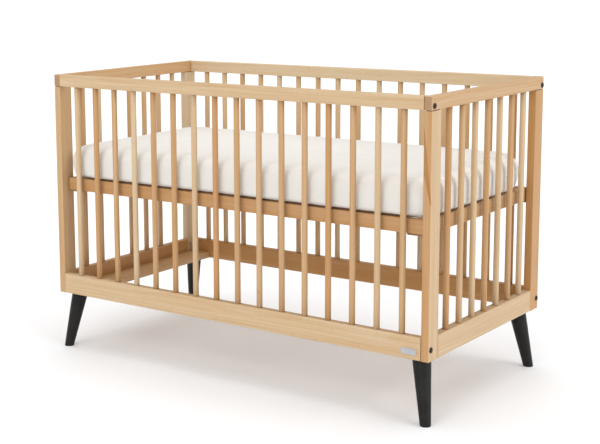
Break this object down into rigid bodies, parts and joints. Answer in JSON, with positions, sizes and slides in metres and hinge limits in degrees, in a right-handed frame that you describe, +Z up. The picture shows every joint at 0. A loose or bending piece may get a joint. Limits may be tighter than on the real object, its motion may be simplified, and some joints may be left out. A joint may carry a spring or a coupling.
{
  "type": "baby crib",
  "caption": "Barred wooden baby crib with flat end panels, a height-adjustable slatted base, a loose mattress and splayed tapered legs.",
  "frame": {"origin": "on the floor, under the middle of the crib", "axes": "+X along the length, towards the end with the maker's plate; -Y the front; +Z up"},
  "size_m": [1.2576, 0.6513, 0.83],
  "materials": {
    "beech": "satin",
    "black_wood": "satin",
    "black_steel": "satin",
    "brown_steel": "satin",
    "bright_steel": "satin",
    "mattress_cloth": "matte"
  },
  "bodies": {
    "crib_frame": {"corner_bolt_left_back_bottom": "black_steel", "corner_bolt_left_back_top": "black_steel", "corner_bolt_left_front_bottom": "black_steel", "corner_bolt_left_front_top": "black_steel", "corner_bolt_right_back_bottom": "black_steel", "corner_bolt_right_back_top": "black_steel", "corner_bolt_right_front_bottom": "black_steel", "corner_bolt_right_front_top": "black_steel", "end_bar_left_1": "beech", "end_bar_left_2": "beech", "end_bar_left_3": "beech", "end_bar_left_4": "beech", "end_bar_left_5": "beech", "end_bar_left_6": "beech", "end_bar_left_7": "beech", "end_bar_right_1": "beech", "end_bar_right_2": "beech", "end_bar_right_3": "beech", "end_bar_right_4": "beech", "end_bar_right_5": "beech", "end_bar_right_6": "beech", "end_bar_right_7": "beech", "end_bottom_rail_left": "beech", "end_bottom_rail_right": "beech", "end_top_rail_left": "beech", "end_top_rail_right": "beech", "leg_board_left": "beech", "leg_board_right": "beech", "leg_left_back": "black_wood", "leg_left_front": "black_wood", "leg_right_back": "black_wood", "leg_right_front": "black_wood", "maker_plate": "bright_steel", "post_left_back": "beech", "post_left_front": "beech", "post_right_back": "beech", "post_right_front": "beech", "side_bars_and_bottom_rail_back": "beech", "side_bars_and_bottom_rail_front": "beech", "side_top_rail_back": "beech", "side_top_rail_front": "beech"},
    "mattress_base": {"base_bracket_left_back": "brown_steel", "base_bracket_left_front": "brown_steel", "base_bracket_right_back": "brown_steel", "base_bracket_right_front": "brown_steel", "base_rail_back": "beech", "base_rail_front": "beech", "base_rail_left": "beech", "base_rail_right": "beech", "slat_1": "beech", "slat_2": "beech", "slat_3": "beech", "slat_4": "beech", "slat_5": "beech", "slat_6": "beech", "slat_7": "beech", "slat_8": "beech", "slat_9": "beech"},
    "mattress_body": {"mattress": "mattress_cloth"}
  },
  "joints": [
    {"name": "base_height", "type": "slide", "parent": "crib_frame", "child": "mattress_base", "axis": [0, 0, 1], "range_m": [-0.2882, 0]},
    {"name": "mattress_lift", "type": "slide", "parent": "mattress_base", "child": "mattress_body", "axis": [0, 0, 1], "range_m": [0, 0.32]}
  ]
}
